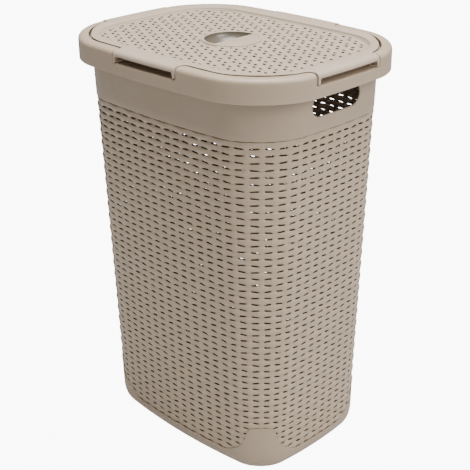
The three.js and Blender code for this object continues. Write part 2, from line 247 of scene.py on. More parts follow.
def make_camera():
    """A camera in front and to the right, looking down at the middle of the hamper."""
    turn, rise, roll = (math.radians(v) for v in (CAMERA_TURN, CAMERA_RISE, CAMERA_ROLL))
    back = Vector((math.sin(turn) * math.cos(rise), -math.cos(turn) * math.cos(rise), math.sin(rise)))
    right = Vector((math.cos(turn), math.sin(turn), 0))
    up = back.cross(right)
    leaning_right = right * math.cos(roll) + up * math.sin(roll)
    leaning_up = up * math.cos(roll) - right * math.sin(roll)
    aim = Vector((0, 0, HEIGHT / 2)) + leaning_right * CAMERA_AIM_RIGHT + leaning_up * CAMERA_AIM_UP
    camera = bpy.data.objects.new("camera", bpy.data.cameras.new("camera"))
    camera.data.lens = CAMERA_LENS
    camera.data.clip_start = CAMERA_NEAR * MM
    turned = Matrix((leaning_right, leaning_up, back)).transposed().to_4x4()
    camera.matrix_world = Matrix.Translation((aim + back * CAMERA_DISTANCE) * MM) @ turned
    bpy.context.scene.collection.objects.link(camera)
    bpy.context.scene.camera = camera


make_camera()


# ---- shared shader effects ----
def new_group(name, inputs, outputs):
    """A node group with named sockets; returns it with its input and output nodes."""
    tree = bpy.data.node_groups.new(name, "ShaderNodeTree")
    for label, kind, value in inputs:
        socket = tree.interface.new_socket(label, in_out="INPUT", socket_type=kind)
        socket.default_value = value
    for label, kind in outputs:
        tree.interface.new_socket(label, in_out="OUTPUT", socket_type=kind)
    return tree, tree.nodes.new("NodeGroupInput"), tree.nodes.new("NodeGroupOutput")


def feed(tree, socket, value):
    """Sets a socket to a plain value, or links another node's output to it."""
    if isinstance(value, (int, float, tuple)):
        socket.default_value = value
    else:
        tree.links.new(value, socket)


def maths(tree, operation, *values):
    """The output of a maths node fed with plain numbers or other outputs."""
    node = tree.nodes.new("ShaderNodeMath")
    node.operation = operation
    for socket, value in zip(node.inputs, values):
        feed(tree, socket, value)
    return node.outputs[0]


def mixed(tree, factor, first, second, blend="MIX"):
    """Two colours mixed by a factor."""
    node = tree.nodes.new("ShaderNodeMix")
    node.data_type = "RGBA"
    node.blend_type = blend
    for name, value in (("Factor", factor), ("A", first), ("B", second)):
        feed(tree, [s for s in node.inputs if s.name == name and s.enabled][0], value)
    return [s for s in node.outputs if s.enabled][0]


def dimmed(tree, colour, gain):
    """A colour times a plain number, from one output of each."""
    grey = tree.nodes.new("ShaderNodeCombineColor")
    for socket in grey.inputs:
        feed(tree, socket, gain)
    return mixed(tree, 1.0, colour, grey.outputs[0], "MULTIPLY")


def noise(tree, waves, detail, squeeze=(1, 1, 1)):
    """Noise in the hamper's own space, in waves per metre, squeezed along X, Y and Z."""
    space = tree.nodes.new("ShaderNodeTexCoord")
    mapping = tree.nodes.new("ShaderNodeMapping")
    mapping.inputs["Scale"].default_value = squeeze
    tree.links.new(space.outputs["Object"], mapping.inputs["Vector"])
    node = tree.nodes.new("ShaderNodeTexNoise")
    node.inputs["Detail"].default_value = detail
    tree.links.new(mapping.outputs["Vector"], node.inputs["Vector"])
    feed(tree, node.inputs["Scale"], waves)
    return node.outputs["Fac"]


def ranged(tree, value, low, high, new_low=0.0, new_high=1.0):
    """A value from low to high, carried to the new range and held within it."""
    node = tree.nodes.new("ShaderNodeMapRange")
    for socket, number in zip(node.inputs[1:5], (low, high, new_low, new_high)):
        socket.default_value = number
    tree.links.new(value, node.inputs[0])
    return node.outputs[0]


ANY_COLOUR = (0.5, 0.5, 0.5, 1)
CLOUD_WAVES = 6.0
SPECK_WAVES = 90.0
CLOUD_SHARE = 0.65
GRAIN_WAVES = 1600.0
PATCH_WAVES = 25.0
STREAK_WAVES = 60.0
STREAK_SQUEEZE = 14
# Rims are lightened towards this colour as wear and a painted highlight.
WEAR_AND_HIGHLIGHT_COLOUR = (0.75, 0.70, 0.63, 1)
# Creases are darkened towards this colour as dust and painted shade.
DUST_AND_SHADE_COLOUR = (0.07, 0.05, 0.035, 1)
# Slot and hole sides are darkened towards this colour as painted shade.
PAINTED_SHADE_COLOUR = (0.03, 0.022, 0.015, 1)


def make_tone_drift():
    """Slow clouds of lighter and darker plastic, as a moulding shows where the melt flowed."""
    tree, start, end = new_group(
        "tone_drift",
        [("Colour", "NodeSocketColor", ANY_COLOUR), ("Amount", "NodeSocketFloat", 0.1)],
        [("Colour", "NodeSocketColor")],
    )
    clouds = ranged(tree, noise(tree, CLOUD_WAVES, 3.0), 0.3, 0.7)
    specks = ranged(tree, noise(tree, SPECK_WAVES, 2.0), 0.3, 0.7)
    clouds = maths(tree, "MULTIPLY", clouds, CLOUD_SHARE)
    specks = maths(tree, "MULTIPLY", specks, 1 - CLOUD_SHARE)
    middle = maths(tree, "SUBTRACT", maths(tree, "ADD", clouds, specks), 0.5)
    gain = maths(tree, "ADD", maths(tree, "MULTIPLY", middle, start.outputs["Amount"]), 1.0)
    tree.links.new(dimmed(tree, start.outputs["Colour"], gain), end.inputs[0])
    return tree


def make_moulded_grain():
    """The fine spark-eroded grain of a moulding tool: a height for bump and a roughness swing."""
    tree, start, end = new_group(
        "moulded_grain",
        [("Waves per metre", "NodeSocketFloat", GRAIN_WAVES), ("Roughness", "NodeSocketFloat", 0.5),
         ("Swing", "NodeSocketFloat", 0.1)],
        [("Height", "NodeSocketFloat"), ("Roughness", "NodeSocketFloat")],
    )
    grain = noise(tree, start.outputs["Waves per metre"], 2.0)
    patches = ranged(tree, noise(tree, PATCH_WAVES, 2.0), 0.35, 0.65, -0.5, 0.5)
    swing = maths(tree, "MULTIPLY", patches, start.outputs["Swing"])
    tree.links.new(grain, end.inputs["Height"])
    tree.links.new(maths(tree, "ADD", start.outputs["Roughness"], swing), end.inputs["Roughness"])
    return tree


def make_rattan_fibre(name, squeeze):
    """Fine streaks that run along the strands, cut into the tool to look like split cane."""
    tree, start, end = new_group(
        name,
        [("Colour", "NodeSocketColor", ANY_COLOUR), ("Depth", "NodeSocketFloat", 0.1)],
        [("Colour", "NodeSocketColor"), ("Height", "NodeSocketFloat")],
    )
    streak = ranged(tree, noise(tree, STREAK_WAVES, 3.0, squeeze), 0.35, 0.65)
    faded = maths(tree, "MULTIPLY", maths(tree, "SUBTRACT", 1.0, streak), start.outputs["Depth"])
    gain = maths(tree, "SUBTRACT", 1.0, faded)
    tree.links.new(dimmed(tree, start.outputs["Colour"], gain), end.inputs[0])
    tree.links.new(streak, end.inputs["Height"])
    return tree


def make_edge_wear_and_painted_light():
    """Rims lightened as wear and a painted highlight, creases darkened as dust and painted shade, read
    from how the surface bends.
    """
    tree, start, end = new_group(
        "edge_wear_and_painted_light",
        [("Colour", "NodeSocketColor", ANY_COLOUR), ("Rubbed", "NodeSocketFloat", 0.1),
         ("Soiled", "NodeSocketFloat", 0.2)],
        [("Colour", "NodeSocketColor"), ("Rubbed mask", "NodeSocketFloat")],
    )
    bend = tree.nodes.new("ShaderNodeNewGeometry").outputs["Pointiness"]
    rim = ranged(tree, bend, 0.52, 0.62)
    crease = ranged(tree, bend, 0.49, 0.40)
    # Rims are lightened as wear and a painted highlight; creases are darkened as dust and painted
    # shade.
    wear_and_highlight = maths(tree, "MULTIPLY", rim, start.outputs["Rubbed"])
    dust_and_shade = maths(tree, "MULTIPLY", crease, start.outputs["Soiled"])
    pale = mixed(tree, wear_and_highlight, start.outputs["Colour"], WEAR_AND_HIGHLIGHT_COLOUR)
    tree.links.new(mixed(tree, dust_and_shade, pale, DUST_AND_SHADE_COLOUR), end.inputs[0])
    tree.links.new(wear_and_highlight, end.inputs["Rubbed mask"])
    return tree


def make_painted_slot_shade():
    """Painted shade on the sides of holes and slots: darkens faces whose upward lean runs from Clear
    towards Deep.
    """
    tree, start, end = new_group(
        "painted_slot_shade",
        [("Colour", "NodeSocketColor", ANY_COLOUR), ("Clear", "NodeSocketFloat", 0.6),
         ("Deep", "NodeSocketFloat", 0.3), ("Amount", "NodeSocketFloat", 0.6)],
        [("Colour", "NodeSocketColor")],
    )
    parts = tree.nodes.new("ShaderNodeSeparateXYZ")
    tree.links.new(tree.nodes.new("ShaderNodeNewGeometry").outputs["True Normal"], parts.inputs[0])
    lean = maths(tree, "ABSOLUTE", parts.outputs["Z"])
    mask = tree.nodes.new("ShaderNodeMapRange")
    tree.links.new(lean, mask.inputs["Value"])
    tree.links.new(start.outputs["Clear"], mask.inputs["From Min"])
    tree.links.new(start.outputs["Deep"], mask.inputs["From Max"])
    amount = maths(tree, "MULTIPLY", mask.outputs["Result"], start.outputs["Amount"])
    # Painted shade: the masked faces are darkened towards a near-black brown.
    tree.links.new(mixed(tree, amount, start.outputs["Colour"], PAINTED_SHADE_COLOUR), end.inputs[0])
    return tree


TONE_DRIFT = make_tone_drift()
MOULDED_GRAIN = make_moulded_grain()
WALL_FIBRE = make_rattan_fibre("rattan_fibre_wall", (1, 1, STREAK_SQUEEZE))
LID_FIBRE = make_rattan_fibre("rattan_fibre_lid", (1, STREAK_SQUEEZE, 1))
EDGE_WEAR_AND_PAINTED_LIGHT = make_edge_wear_and_painted_light()
PAINTED_SLOT_SHADE = make_painted_slot_shade()


# ---- finishes ----
PLASTIC_IOR = 1.49
FIBRE_TONE = 0.10
FIBRE_HEIGHT = 0.12
BUMP_DISTANCE = 0.4
BUMP_STRENGTH = 0.6


def use(tree, group, **inputs):
    """A shared effect placed in a material, with its inputs set or linked."""
    node = tree.nodes.new("ShaderNodeGroup")
    node.node_tree = group
    for label, value in inputs.items():
        feed(tree, node.inputs[label], value)
    return node


def plastic(name, colour, roughness, drift=0.08, wear_and_highlight=0.1, dust_and_shade=0.3, grain=0.05, swing=0.1,
            fibre=None, painted_shade=None):
    """Moulded polypropylene: drifting tone, grain, rims lightened as wear and a painted highlight and
    creases darkened as dust and painted shade, with cane fibre and painted shade on slot and hole sides
    (their clear lean, deep lean and amount) on the woven parts."""
    material = bpy.data.materials.new(name)
    material.use_nodes = True
    tree = material.node_tree
    shader = tree.nodes["Principled BSDF"]
    shader.inputs["IOR"].default_value = PLASTIC_IOR
    tone = use(tree, TONE_DRIFT, Colour=(*colour, 1.0), Amount=drift).outputs["Colour"]
    texture = use(tree, MOULDED_GRAIN, Roughness=roughness, Swing=swing)
    height = maths(tree, "MULTIPLY", texture.outputs["Height"], grain)
    if fibre is not None:
        cane = use(tree, fibre, Colour=tone, Depth=FIBRE_TONE)
        tone = cane.outputs["Colour"]
        streaks = maths(tree, "MULTIPLY", cane.outputs["Height"], FIBRE_HEIGHT)
        height = maths(tree, "ADD", height, streaks)
    # Wear and a painted highlight on rims, dust and painted shade in creases.
    edges = use(tree, EDGE_WEAR_AND_PAINTED_LIGHT, Colour=tone, Rubbed=wear_and_highlight, Soiled=dust_and_shade)
    tone = edges.outputs["Colour"]
    # Painted shade on the sides of slots and holes.
    if painted_shade is not None:
        clear, deep, amount = painted_shade
        shaded = use(tree, PAINTED_SLOT_SHADE, Colour=tone, Clear=clear, Deep=deep, Amount=amount)
        tone = shaded.outputs["Colour"]
    bump = tree.nodes.new("ShaderNodeBump")
    bump.inputs["Distance"].default_value = BUMP_DISTANCE * MM
    bump.inputs["Strength"].default_value = BUMP_STRENGTH
    tree.links.new(height, bump.inputs["Height"])
    tree.links.new(tone, shader.inputs["Base Color"])
    tree.links.new(texture.outputs["Roughness"], shader.inputs["Roughness"])
    tree.links.new(bump.outputs["Normal"], shader.inputs["Normal"])
    return material


TAUPE = (0.355, 0.27, 0.19)
# The woven walls: the tub's taupe painted lighter, for the light from above that the strands catch.
PAINTED_LIT_WEAVE_TAUPE = (0.41, 0.312, 0.216)
# The lid, pull ring and grip: the rim's taupe painted lighter, for the light falling on their tops.
PAINTED_LIT_TAUPE = (0.40, 0.315, 0.235)
# The bowl: the same taupe painted dark, as painted shade inside the hollow.
PAINTED_SHADE_BOWL_TAUPE = (0.10, 0.083, 0.06)
# The woven walls carry painted shade on the upper and lower faces inside their slots.
WOVEN_PLASTIC = plastic("woven_plastic", PAINTED_LIT_WEAVE_TAUPE, 0.50, dust_and_shade=0.05, fibre=WALL_FIBRE,
                        painted_shade=(0.75, 0.93, 0.8))
TUB_PLASTIC = plastic("tub_plastic", TAUPE, 0.50)
RIM_PLASTIC = plastic("rim_plastic", TAUPE, 0.48)
LID_PLASTIC = plastic("lid_plastic", PAINTED_LIT_TAUPE, 0.46)
# The lid weave carries painted shade on the walls of its holes.
LID_WOVEN_PLASTIC = plastic("lid_woven_plastic", PAINTED_LIT_TAUPE, 0.48, wear_and_highlight=0.0, fibre=LID_FIBRE,
                            painted_shade=(0.6, 0.3, 0.7))
GRIP_PLASTIC = plastic("grip_plastic", PAINTED_LIT_TAUPE, 0.38, drift=0.05, grain=0.02, swing=0.05)
PAINTED_SHADE_BOWL_PLASTIC = plastic("bowl_painted_shade_plastic", PAINTED_SHADE_BOWL_TAUPE, 0.3, drift=0.05, grain=0.01, swing=0.05)


# ---- woven walls ----
COLUMN_LINES = (0.0, 0.08, 0.2, 0.3, 0.5, 0.7, 0.8, 0.92)
STRAND_LINES = (0.0, 0.115, 0.25, 0.42, 0.58, 0.75, 0.885)
SLOT_LEFT = 0.2
SLOT_RIGHT = 0.8
SLOT_BEGIN = COLUMN_LINES.index(SLOT_LEFT)
SLOT_STOP = COLUMN_LINES.index(SLOT_RIGHT)
SLOT_CLEAR_SIDE = 3.5
SLOT_CLEAR_ABOVE = 1.5
SLOT_HALF_HEIGHT = 1.15
SLOT_TALLER_LOW = 0.2
SLOT_END_SHARE = 0.6
SLOT_WIDE = 1.04
SLOT_NARROW = 0.88
CAP_POWER = 0.75
SEAM_DEPTH = 0.9
SEAM_DASH = 0.5
STAKE_RIDGE = 0.5
STAKE_HALF_WIDTH = 0.10

# Each piece of wall: its first and last column, and the node that it replaces.
WALL_SPANS = {
    "woven_side_right": (-4, 4, "woven_wall_right"),
    "woven_turn_back_right": (4, 10, "woven_corner_back_right"),
    "woven_side_back": (10, 23, "woven_wall_back"),
    "woven_turn_back_left": (23, 29, "woven_corner_back_left"),
    "woven_side_left": (29, 37, "woven_wall_left"),
    "woven_turn_front_left": (37, 43, "woven_corner_front_left"),
    "woven_side_front": (43, 56, "woven_wall_front"),
    "woven_turn_front_right": (56, 62, "woven_corner_front_right"),
}

# Half width of a corner foot, along the wall, at each height.
FOOT_OUTLINE = ((0, 78.5), (10, 78.3), (14, 77), (17, 74), (19, 69), (21, 60), (24.5, 50),
                (28.5, 44.5), (35, 39.5), (43, 34.2), (52, 29.8), (60, 27.9))


def from_corner(column, z):
    """Distance along the wall from the nearest corner's middle, in millimetres."""
    shares = column_station(column)
    turn = np.arctan2(shares[3], shares[2])
    on_arc = (turn > TINY) & (turn < math.pi / 2 - TINY)
    a, b, radius, _, _, _ = shell(wall_inset(z), z)
    along_arc = np.abs(turn - math.pi / 4) * radius
    along_short = (1 - shares[1]) * (b - radius) + radius * math.pi / 4
    along_long = (1 - shares[0]) * (a - radius) + radius * math.pi / 4
    return np.where(on_arc, along_arc, np.where(turn <= TINY, along_short, along_long))


def foot_top(distance):
    """Upper edge of the smooth base band and its corner feet."""
    reach, height = np.array(FOOT_OUTLINE, float).T
    return np.interp(distance, reach, height)


def weave_grid():
    """Column, level and depth of every point of the weave's outer face."""
    columns = (np.arange(COLUMNS)[:, None] + np.array(COLUMN_LINES)).ravel()
    strands = np.append((np.arange(STRANDS)[:, None] + np.array(STRAND_LINES)).ravel(), STRANDS)
    column = np.broadcast_to(columns, (len(strands), len(columns))).copy()
    strand = np.broadcast_to(strands[:, None], column.shape)
    number = np.minimum(np.floor(strand + TINY), STRANDS - 1)
    within = strand - number
    over = np.cos(math.pi * (column - number))

    # Levels, swaying with the weave except at the two outer edges.
    sway_above = np.where(number == 0, 0, SLOT_SWAY)
    sway_below = np.where(number == STRANDS - 1, 0, SLOT_SWAY)
    sway = (1 - within) * sway_above - within * sway_below
    z = WEAVE_TOP - STRAND_PITCH * strand + sway * over

    # The lines beside a slot move to its edges, which are closer together at its ends.
    nearest = np.rint(strand)
    to_edge = (strand - nearest) * STRAND_PITCH
    beside_slot = np.abs(np.abs(to_edge) - STRAND_LINES[1] * STRAND_PITCH) < HAIR
    share = np.mod(column, 1.0)
    in_slot = (share > SLOT_LEFT - HAIR) & (share < SLOT_RIGHT + HAIR)
    at_end = in_slot & ((share < SLOT_LEFT + HAIR) | (share > SLOT_RIGHT - HAIR))
    down = nearest / STRANDS
    half = (SLOT_HALF_HEIGHT + SLOT_TALLER_LOW * down) * np.where(at_end, SLOT_END_SHARE, 1)
    z = z - np.where(beside_slot & in_slot, np.sign(to_edge) * half - to_edge, 0)
    widen = np.where(in_slot, SLOT_WIDE + (SLOT_NARROW - SLOT_WIDE) * down, 1)
    column = np.floor(column + TINY) + 0.5 + (share - 0.5) * widen

    # Depths: rounded strands, ridges of the stakes that pass over them, and the seam at the top.
    cap = np.clip(1 - (2 * within - 1) ** 2, 0, None) ** CAP_POWER
    out = GROOVE + (PILLOW + OVER_UNDER * over) * cap
    from_stake = np.abs(column - np.rint(column)) / STAKE_HALF_WIDTH
    under = np.clip(-over, 0, 1) * np.clip(1 - from_stake, 0, 1)
    out = out + STAKE_RIDGE * under * cap
    topmost = strand < HAIR
    out = out - np.where(topmost, SEAM_DEPTH, 0) - np.where(topmost & in_slot & ~at_end, SEAM_DASH, 0)
    return column, z, out


def cut_slots(keep, rows, numbers):
    """Takes the quads of a row of slots out of the weave, in the columns with these numbers."""
    for number in numbers:
        begin = number * len(COLUMN_LINES)
        keep[rows, begin + SLOT_BEGIN:begin + SLOT_STOP] = False


def weave_quads():
    """Which quads of the weave are solid: not the slots, which stop short of the smooth feet."""
    keep = np.ones((STRANDS * len(STRAND_LINES), COLUMNS * len(COLUMN_LINES)), bool)
    middles = np.arange(COLUMNS) + 0.5
    for edge in range(1, STRANDS):
        row = edge * len(STRAND_LINES)
        height = WEAVE_TOP - STRAND_PITCH * edge
        foot = foot_top(from_corner(middles, height) + SLOT_CLEAR_SIDE)
        cut_slots(keep, slice(row - 1, row + 1), np.flatnonzero(foot <= height + SLOT_CLEAR_ABOVE))
    lowest = np.ones((1, keep.shape[1]), bool)
    reach = from_corner(middles, WEAVE_BOTTOM)
    clear = foot_top(reach - SLOT_CLEAR_SIDE) < WEAVE_BOTTOM
    clear &= foot_top(reach + SLOT_CLEAR_SIDE) < WEAVE_BOTTOM
    cut_slots(lowest, slice(0, 1), np.flatnonzero(clear))
    keep[-1] &= lowest[0]
    return np.concatenate([np.ones_like(lowest), keep, lowest])


def tucked_grid():
    """The weave with one more row at the top, tucked behind the band, and one behind the base."""
    column, z, out = weave_grid()
    column = np.concatenate([column[:1], column, column[-1:]])
    z = np.concatenate([z[:1] + TUCK, z, z[-1:] - TUCK])
    above = np.full_like(out[:1], GROOVE - SEAM_DEPTH)
    below = np.full_like(out[:1], GROOVE)
    return column, z, np.concatenate([above, out, below])


def woven_walls():
    """The slotted wall, made whole so that its smooth normals match, and cut into sides and turns."""
    column, z, out = tucked_grid()
    keep = weave_quads()
    station = column_station(column)
    level = shell(wall_inset(z), z)
    skins = np.stack([place(station, level, out), place(station, level, np.full_like(out, INNER_FACE))])
    normals = vertex_normals(skins.reshape(-1, 3), thick_sheet(keep, wrap=True)).reshape(skins.shape)
    for name, (begin, stop, node) in WALL_SPANS.items():
        pick = np.arange(begin * len(COLUMN_LINES), stop * len(COLUMN_LINES) + 1) % column.shape[1]
        faces = thick_sheet(keep[:, pick[:-1]])
        points, (faces,), used = compact(skins[:, :, pick].reshape(-1, 3), [faces])
        own = normals[:, :, pick].reshape(-1, 3)[used]
        piece = new_object(name, points, faces.tolist(), normals=own)
        finished(piece, "tub", [node], WOVEN_PLASTIC)


woven_walls()


# ---- rings: stations from the middle of each side round every corner ----
STRAIGHT_SHORT = 62.0
STRAIGHT_LONG = 114.0
NOMINAL_RADIUS = 80.0
FLAT_STEP = 6.0
ARC_STEP = 2.6


def side_marks(marks, straight):
    """Distances from the middle of a side to the middle of its corner."""
    corner = straight + NOMINAL_RADIUS * math.pi / 4
    last = marks[-1]
    bend = max(last, straight)
    flat = np.linspace(last, bend, 2 + int((bend - last) / FLAT_STEP))
    arc = np.linspace(bend, corner, 2 + int((corner - bend) / ARC_STEP))
    joined = np.concatenate([marks, flat, arc])
    return joined[np.append(True, np.diff(joined) > TINY)]


def ring_stations(marks):
    """Stations all round, anticlockwise from the middle of the right side, and each one's distance."""
    marks = np.array(marks, float)
    short = side_marks(marks, STRAIGHT_SHORT)
    long = side_marks(marks, STRAIGHT_LONG)[::-1][1:]
    turn = np.clip((short - STRAIGHT_SHORT) / NOMINAL_RADIUS, 0, None)
    lean = np.clip((long - STRAIGHT_LONG) / NOMINAL_RADIUS, 0, None)
    run = np.clip((long - STRAIGHT_SHORT) / (STRAIGHT_LONG - STRAIGHT_SHORT), 0, 1)
    on_arc = short > STRAIGHT_SHORT
    share_x = np.concatenate([np.ones_like(short), run])
    share_y = np.concatenate([on_arc * 1.0, np.ones_like(long)])
    nx = np.concatenate([np.cos(turn), np.sin(lean)])
    ny = np.concatenate([np.sin(turn), np.cos(lean)])
    fixed_x = np.concatenate([np.zeros_like(short), np.minimum(long, STRAIGHT_SHORT) * (1 - run)])
    fixed_y = np.concatenate([np.where(on_arc, 0, short), np.zeros_like(long)])
    quarter = np.stack([share_x, share_y, nx, ny, fixed_x, fixed_y, np.concatenate([short, long])])
    back = quarter[:, ::-1]
    turns = [(quarter, 1, 1), (back[:, 1:], -1, 1), (quarter[:, 1:], -1, -1), (back[:, 1:-1], 1, -1)]
    quarters = [np.vstack([part, np.tile([[sign_x], [sign_y]], part.shape[1])])
                for part, sign_x, sign_y in turns]
    rows = np.concatenate(quarters, axis=1)
    return (*rows[:6], *rows[7:]), rows[6]


def rounding(past, radius):
    """How far a rounded corner stands off its edge, a distance past the corner's end."""
    inside = np.clip(radius - past, 0, radius)
    return np.where(past < 0, 0, radius - np.sqrt(radius ** 2 - inside ** 2))


NOTCH_END = node_box("rim_corner_front_right")[0][0]
WING_END = node_box("lid_wing_front")[1][0]
NOTCH_DRAFT = 0.6
NOTCH_WEB = 2.5
TAB_WIDTH = 3.6
TAB_ROUND = 2.5
WING_DRAFT = 0.5
NOTCH_ROUND = 6.0
FLARE_ROUND = 7.7
# Distances from a side's middle, close together where a wing or a notch ends.
BRIM_MARKS = sorted(
    [0, 10, 20, 30, 38, 44, 48]
    + [WING_END - d for d in (9, 7.6, 6.6, 6.1, 5.6, 5.1, 4.6, 4.1, 3.6, 2.4, 1.2, 0.5, 0.25, 0)]
    + [WING_END + d for d in (0.4, 1.0, 1.5)]
    + [NOTCH_END + d for d in (0, 0.1, 0.3, 0.5, 0.6, 1, 1.6, 2.5, 2.8, 3.1, 4, 5, 6.5, 8)]
)
BRIM, ALONG = ring_stations(BRIM_MARKS)
SLIT_ROUND = rounding(ALONG - NOTCH_END, NOTCH_ROUND)
WING_FLARE = np.where(
    ALONG < WING_END,
    FLARE_ROUND * np.clip(1 - (WING_END - ALONG) / WING_DRAFT, 0, 1),
    rounding(ALONG - WING_END, FLARE_ROUND),
)

# How near a station is to a corner's middle, and how much further in the edges lie there.
CORNER_POWER = 1.4
CORNER_SHARE = (2 * BRIM[2] * BRIM[3]) ** CORNER_POWER
LIP_CORNER_INSET = 2.3
LID_CORNER_INSET = 4.2
GROOVE_CORNER_INSET = 2.8

# The lid stands a little above the rim, and its wings a little outside it.
LID_PROUD = 0.8
WING_PROUD = 0.6
LID_HEIGHT = HEIGHT + LID_PROUD
LIP_BOTTOM = 593.4
TAB_BOTTOM = node_box("lid_wing_front")[0][2]


def rim_lip(inset, z):
    """The rim's inner edge: it rounds outwards into each notch and is tighter at the corners."""
    return panel(inset - SLIT_ROUND + LIP_CORNER_INSET * CORNER_SHARE, z)


def seat_groove(inset, z):
    """The groove round the lid's seat, which widens at the corners."""
    return panel(inset + GROOVE_CORNER_INSET * CORNER_SHARE, z)


def lid_top(inset, z):
    """The lid panel's outline, rounder at the corners than the rim's."""
    return panel(inset + LID_CORNER_INSET * CORNER_SHARE, z)


def lid_edge(inset, z):
    """The lid panel's edge, which flares outwards into each wing."""
    return lid_top(inset - WING_FLARE, z)


def wing_face(inset, z):
    """The wing's outer face, just outside the rim's."""
    return shell(inset - WING_PROUD, z)


def tab_drop():
    """How far the wing's lip hangs below the top: deepest in a tab at each end."""
    inside = WING_END - ALONG
    lip = LID_HEIGHT - LIP_BOTTOM
    tab = LID_HEIGHT - TAB_BOTTOM
    rise = np.clip(TAB_WIDTH + WING_DRAFT + TAB_ROUND - inside, 0, TAB_ROUND)
    curved = lip + TAB_ROUND - np.sqrt(TAB_ROUND ** 2 - rise ** 2)
    steep = np.clip((TAB_WIDTH + WING_DRAFT - inside) / WING_DRAFT, 0, 1)
    return curved + (tab - lip - TAB_ROUND) * steep


LIP_DROP = tab_drop()

# Each row of a section: where its change from the side's middle to the corner begins and how long
# that takes, then its place at the corners and at the middles: outline, inset, drop below the top.
SAME = None
RIM_OUTSIDE = (NOTCH_END, NOTCH_DRAFT)
RIM_INSIDE = (NOTCH_END + NOTCH_WEB, NOTCH_DRAFT)
RIM_SECTION = (
    (RIM_OUTSIDE, (shell, 2.5, 30.5), SAME),
    (RIM_OUTSIDE, (shell, 2.2, 31.5), SAME),
    (RIM_OUTSIDE, (shell, 0.5, 31.5), SAME),
    (RIM_OUTSIDE, (shell, 0.0, 31.0), SAME),
    (RIM_OUTSIDE, (shell, 0.0, 24.0), SAME),
    (RIM_OUTSIDE, (shell, 0.0, 16.0), (shell, 0.0, 18.0)),
    (RIM_OUTSIDE, (shell, 0.0, 10.0), (shell, 0.2, 17.1)),
    (RIM_OUTSIDE, (shell, 0.0, 6.0), (shell, 0.8, 16.3)),
    (RIM_OUTSIDE, (shell, 0.45, 3.7), (shell, 1.6, 15.8)),
    (RIM_OUTSIDE, (shell, 1.75, 1.75), (shell, 2.6, 15.5)),
    (RIM_OUTSIDE, (shell, 3.7, 0.45), (shell, 4.4, 15.4)),
    (RIM_OUTSIDE, (shell, 6.0, 0.0), (shell, 8.0, 15.5)),
    (RIM_OUTSIDE, (rim_lip, -2.5, 0.0), (shell, 12.0, 15.5)),
    (RIM_OUTSIDE, (rim_lip, -2.2, 0.3), (shell, 14.4, 15.5)),
    (RIM_OUTSIDE, (rim_lip, -2.25, 0.55), (shell, 15.0, 14.9)),
    (RIM_OUTSIDE, (rim_lip, -3.8, 0.65), (shell, 15.0, 10.3)),
    (RIM_OUTSIDE, (rim_lip, -3.8, 8.7), (shell, 15.0, 5.7)),
    (RIM_OUTSIDE, (seat_groove, 1.6, 8.7), (shell, 15.5, 5.7)),
    (RIM_OUTSIDE, (seat_groove, 1.7, 5.7), (shell, 16.0, 5.7)),
    (RIM_OUTSIDE, (shell, 20.8, 5.7), SAME),
    (RIM_OUTSIDE, (shell, 21.8, 6.5), SAME),
    (RIM_OUTSIDE, (shell, 21.8, 25.0), SAME),
    (RIM_OUTSIDE, (shell, 21.2, 31.5), SAME),
    (RIM_OUTSIDE, (shell, 18.8, 31.5), SAME),
    (RIM_INSIDE, (shell, 18.8, 12.0), (shell, 18.8, 19.0)),
    (RIM_INSIDE, (panel, -4.2, 12.0), (shell, 17.0, 19.0)),
    (RIM_INSIDE, (panel, -4.2, 2.8), (shell, 10.0, 19.0)),
    (RIM_INSIDE, (shell, 5.5, 2.8), (shell, 4.0, 19.0)),
    (RIM_INSIDE, (shell, 2.5, 7.0), (shell, 2.5, 20.0)),
)

LID_OUTSIDE = (WING_END - WING_DRAFT, WING_DRAFT)
LID_INSIDE = (WING_END - TAB_WIDTH - WING_DRAFT, WING_DRAFT)
LID_SECTION = (
    (LID_OUTSIDE, (panel, 15.5, 5.4), SAME),
    (LID_OUTSIDE, (panel, 8.0, 5.4), SAME),
    (LID_OUTSIDE, (lid_top, 3.0, 5.4), SAME),
    (LID_OUTSIDE, (lid_edge, 1.8, 5.4), SAME),
    (LID_OUTSIDE, (lid_edge, 1.6, 5.0), SAME),
    (LID_INSIDE, (lid_edge, 1.6, 4.0), (panel, -0.6, 3.0)),
    (LID_INSIDE, (lid_edge, 1.6, 3.0), (shell, 8.0, 2.8)),
    (LID_INSIDE, (lid_edge, 1.6, 2.2), (shell, 3.6, 3.2)),
    (LID_INSIDE, (lid_edge, 1.6, 1.5), (shell, 2.5, 5.0)),
    (LID_INSIDE, (lid_edge, 1.6, 0.8), (shell, 2.4, LIP_DROP - 0.5)),
    (LID_OUTSIDE, (lid_edge, 1.4, 0.6), (wing_face, 2.0, LIP_DROP)),
    (LID_OUTSIDE, (lid_edge, 0.1, 0.52), (wing_face, 0.5, LIP_DROP)),
    (LID_OUTSIDE, (lid_edge, 0.0, 0.42), (wing_face, 0.0, LIP_DROP - 0.5)),
    (LID_OUTSIDE, (lid_edge, 0.0, 0.3), (wing_face, 0.0, 6.0)),
    (LID_OUTSIDE, (lid_edge, 0.05, 0.17), (wing_face, 0.45, 3.7)),
    (LID_OUTSIDE, (lid_edge, 0.12, 0.08), (wing_face, 1.75, 1.75)),
    (LID_OUTSIDE, (lid_edge, 0.25, 0.03), (wing_face, 3.7, 0.45)),
    (LID_OUTSIDE, (lid_edge, 0.45, 0.0), (wing_face, 6.0, 0.0)),
    (LID_OUTSIDE, (lid_top, 3.0, 0.0), (panel, 0.0, 0.0)),
    (LID_OUTSIDE, (panel, 8.0, 0.25), SAME),
    (LID_OUTSIDE, (panel, 14.2, 0.8), SAME),
    (LID_OUTSIDE, (panel, 15.2, 1.3), SAME),
    (LID_OUTSIDE, (panel, 15.5, 2.2), SAME),
    (LID_OUTSIDE, (panel, 15.9, 3.8), SAME),
    (LID_OUTSIDE, (panel, 17.0, 4.4), SAME),
)


